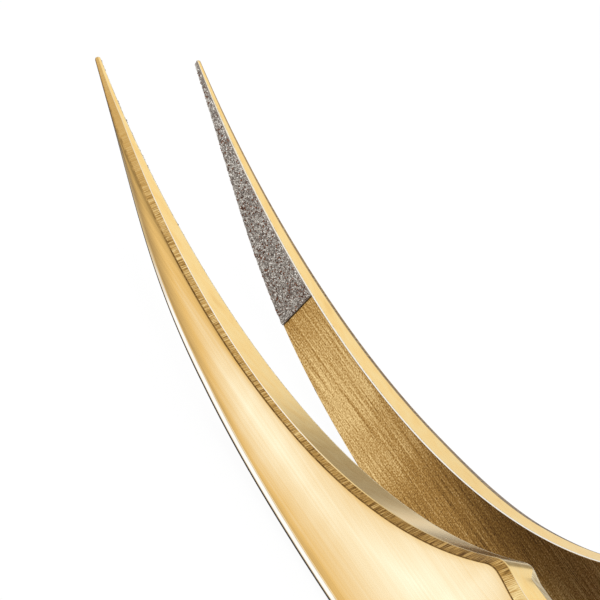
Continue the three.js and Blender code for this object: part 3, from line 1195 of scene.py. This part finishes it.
@dataclass
class Studio:
    """The pale floor, the surround, the lights and the camera."""

    point: Vector  # the middle between the two points, in metres
    floor_size: float = 4.0
    camera_distance: float = 0.6
    camera_from: Colour = (-0.54467, 0.70746, 0.45037)
    camera_roll: float = 35.19
    frame_width: float = 0.02888
    aim: Colour = (-0.011376, -0.005722, -0.004766)  # from the points to the view's middle
    boxes: tuple[Softbox, ...] = (
        Softbox("rear_softbox", (0.36, -0.56, 0.50), (1.0, 0.56), 2.5),
        Softbox("front_softbox", (-0.30, 0.35, 0.60), (0.5, 0.5), 3.5),
    )
    cards: tuple[Card, ...] = (
        Card((0.52, 0.73, -0.44), 15.0, 32.0, 1.12),
        Card((0.545, 0.22, -0.81), 16.0, 23.0, 1.05),
        Card((0.545, -0.60, -0.58), 6.0, 12.0, 0.06),
        Card((0.53, -0.84, 0.14), 9.0, 15.0, 0.36, (1.0, 0.95, 0.88)),
        Card((0.42, -0.86, -0.28), 7.0, 13.0, 0.60, (0.96, 0.98, 1.0)),
    )

    def build(self) -> None:
        """Make everything that isn't part of the tongs."""
        self._camera()
        self._floor()
        self._surround()
        target = Vector((self.point.x - 0.02, 0, 0))
        for box in self.boxes:
            box.build(target)
        bpy.context.scene.view_settings.view_transform = "Standard"

    def _camera(self) -> None:
        """Make the camera, far off with a long lens."""
        data = bpy.data.cameras.new("camera")
        data.lens = data.sensor_width * self.camera_distance / self.frame_width
        data.clip_start, data.clip_end = 0.01, 20.0
        made = linked("camera", data)
        made.location = self.point + Vector(self.camera_from) * self.camera_distance
        back = made.location - (self.point + Vector(self.aim))
        turn = back.to_track_quat("Z", "Y") @ Quaternion((0, 0, 1), math.radians(self.camera_roll))
        made.rotation_mode = "QUATERNION"
        made.rotation_quaternion = turn
        bpy.context.scene.camera = made

    def _floor(self) -> None:
        """Make the pale floor, which looks evenly white and doesn't show in the metal."""
        bm = bmesh.new()
        bmesh.ops.create_grid(bm, x_segments=1, y_segments=1, size=self.floor_size / 2)
        material, bench = new_material("floor_white")
        seen = bench.node("ShaderNodeLightPath", None, None, "Is Camera Ray")
        matt = bench.node("ShaderNodeBsdfDiffuse", None, {"Color": (0.9, 0.9, 0.9, 1)})
        glow = bench.node("ShaderNodeEmission", None, {"Color": (1, 1, 1, 1), "Strength": 1.0})
        surface = bench.node("ShaderNodeMixShader", None, {0: seen * 0.96, 1: matt, 2: glow})
        bench.node("ShaderNodeOutputMaterial", None, {"Surface": surface})
        made = finished(mesh_from(bm, "floor"), [material])
        made.visible_glossy = False

    def _surround(self) -> None:
        """Make the surround, white to the camera and graded for what the metal shows."""
        world = bpy.data.worlds.new("surround")
        bpy.context.scene.world = world
        world.use_nodes = True
        bench = Bench(world.node_tree)
        seen = bench.node("ShaderNodeLightPath", None, None, "Is Camera Ray")
        direction = bench.node("ShaderNodeTexCoord", None, None, "Generated")
        up = bench.node("ShaderNodeSeparateXYZ", None, {0: direction}, "Z")
        stops = (
            (0.0, (0.10, 0.09, 0.08)),
            (0.36, (0.05, 0.045, 0.035)),
            (0.385, (0.09, 0.08, 0.06)),
            (0.405, (0.26, 0.26, 0.25)),
            (0.46, (0.84, 0.84, 0.84)),
            (0.69, (0.92, 0.92, 0.92)),
            (0.85, (1.0, 1.0, 1.0)),
            (1.0, (0.9, 0.9, 0.9)),
        )
        around = bench.ramp(up * 0.5 + 0.5, stops)
        for card in self.cards:
            around = card.over(bench, direction, around)
        colour = bench.mix(seen, around, (1.0, 1.0, 1.0, 1))
        surface = bench.node("ShaderNodeBackground", None, {"Color": colour, "Strength": 1.0})
        bench.node("ShaderNodeOutputWorld", None, {"Surface": surface})


def main() -> None:
    """Build the studio and the tongs, and report each piece."""
    logging.basicConfig(level=logging.INFO, format="%(name)s: %(message)s")
    low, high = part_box("left_arm")
    crisp = ArmShape(tail_x=low.x / MM, point_x=high.x / MM)
    Studio(point=Vector((high.x, 0, crisp.point_height * MM))).build()
    log.info("studio ready")
    finishes = Finishes()
    longer = 0.3  # millimetres by which the right arm's point passes the left one's
    rounded = replace(
        crisp,
        point_x=crisp.point_x + longer,
        heel_setback=crisp.heel_setback + longer,
        belly_setback=crisp.belly_setback + longer,
        ridge_roundness=1.0,
        ridge_share=0.38,
        heel_ridge_share=0.62,
    )
    parts: list[Arm | GritCoat | TailSpacer] = []
    for side, shape, inset in ((Side.LEFT, crisp, 0.10), (Side.RIGHT, rounded, 0.02)):
        parts.append(Arm(side, shape, finishes))
        parts.append(GritCoat(side, shape, finishes, edge_inset=inset))
    parts.append(TailSpacer(crisp, finishes))
    for part in parts:
        piece = part.build()
        log.info("%s: %d faces", piece.name, len(piece.data.polygons))


if __name__ == "__main__":
    main()
